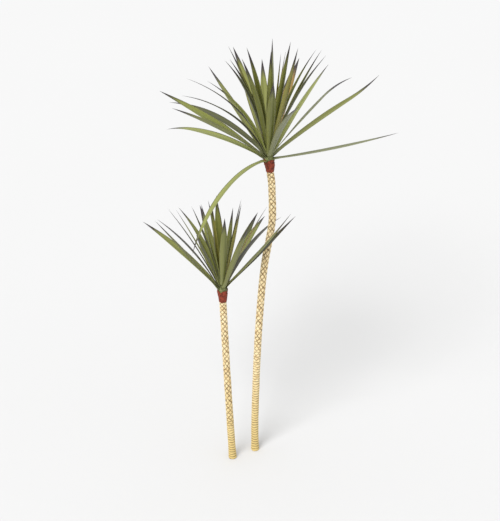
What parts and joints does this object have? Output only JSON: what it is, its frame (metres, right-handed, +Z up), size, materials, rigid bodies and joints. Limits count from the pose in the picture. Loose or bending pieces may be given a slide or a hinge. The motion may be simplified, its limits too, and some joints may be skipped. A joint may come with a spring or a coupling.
{
  "type": "dragon tree",
  "caption": "Dragon tree with slender bare stems rising from one root, each topped by a full head of arching sword-shaped leaves.",
  "frame": {"origin": "middle of the taller stem's flat cut at ground level", "axes": "+Z up along the stems, -Y towards the front that shows both stems side by side"},
  "size_m": [1.0442, 0.9507, 2.0449],
  "materials": {
    "bark": "pale cream bark with brown lozenge leaf scars",
    "leaf_base": "matt rust red old leaf bases",
    "leaf": "satin olive green leaf",
    "young_leaf": "satin green leaf with red and yellow edges"
  },
  "bodies": {
    "root": {"short_collar": "leaf_base", "short_heart": "young_leaf", "short_leaf_01": "leaf", "short_leaf_02": "leaf", "short_leaf_03": "leaf", "short_leaf_04": "leaf", "short_leaf_05": "leaf", "short_leaf_06": "leaf", "short_leaf_07": "leaf", "short_leaf_08": "leaf", "short_leaf_09": "leaf", "short_leaf_10": "leaf", "short_leaf_11": "leaf", "short_leaf_12": "leaf", "short_leaf_13": "leaf", "short_leaf_14": "leaf", "short_leaf_15": "leaf", "short_leaf_16": "leaf", "short_leaf_17": "leaf", "short_stem": "bark", "tall_collar": "leaf_base", "tall_heart": "young_leaf", "tall_leaf_01": "leaf", "tall_leaf_02": "leaf", "tall_leaf_03": "leaf", "tall_leaf_04": "leaf", "tall_leaf_05": "leaf", "tall_leaf_06": "leaf", "tall_leaf_07": "leaf", "tall_leaf_08": "leaf", "tall_leaf_09": "leaf", "tall_leaf_10": "leaf", "tall_leaf_11": "leaf", "tall_leaf_12": "leaf", "tall_leaf_13": "leaf", "tall_leaf_14": "leaf", "tall_leaf_15": "leaf", "tall_leaf_16": "leaf", "tall_leaf_17": "leaf", "tall_leaf_18": "leaf", "tall_leaf_19": "leaf", "tall_leaf_20": "leaf", "tall_stem": "bark"}
  },
  "joints": []
}
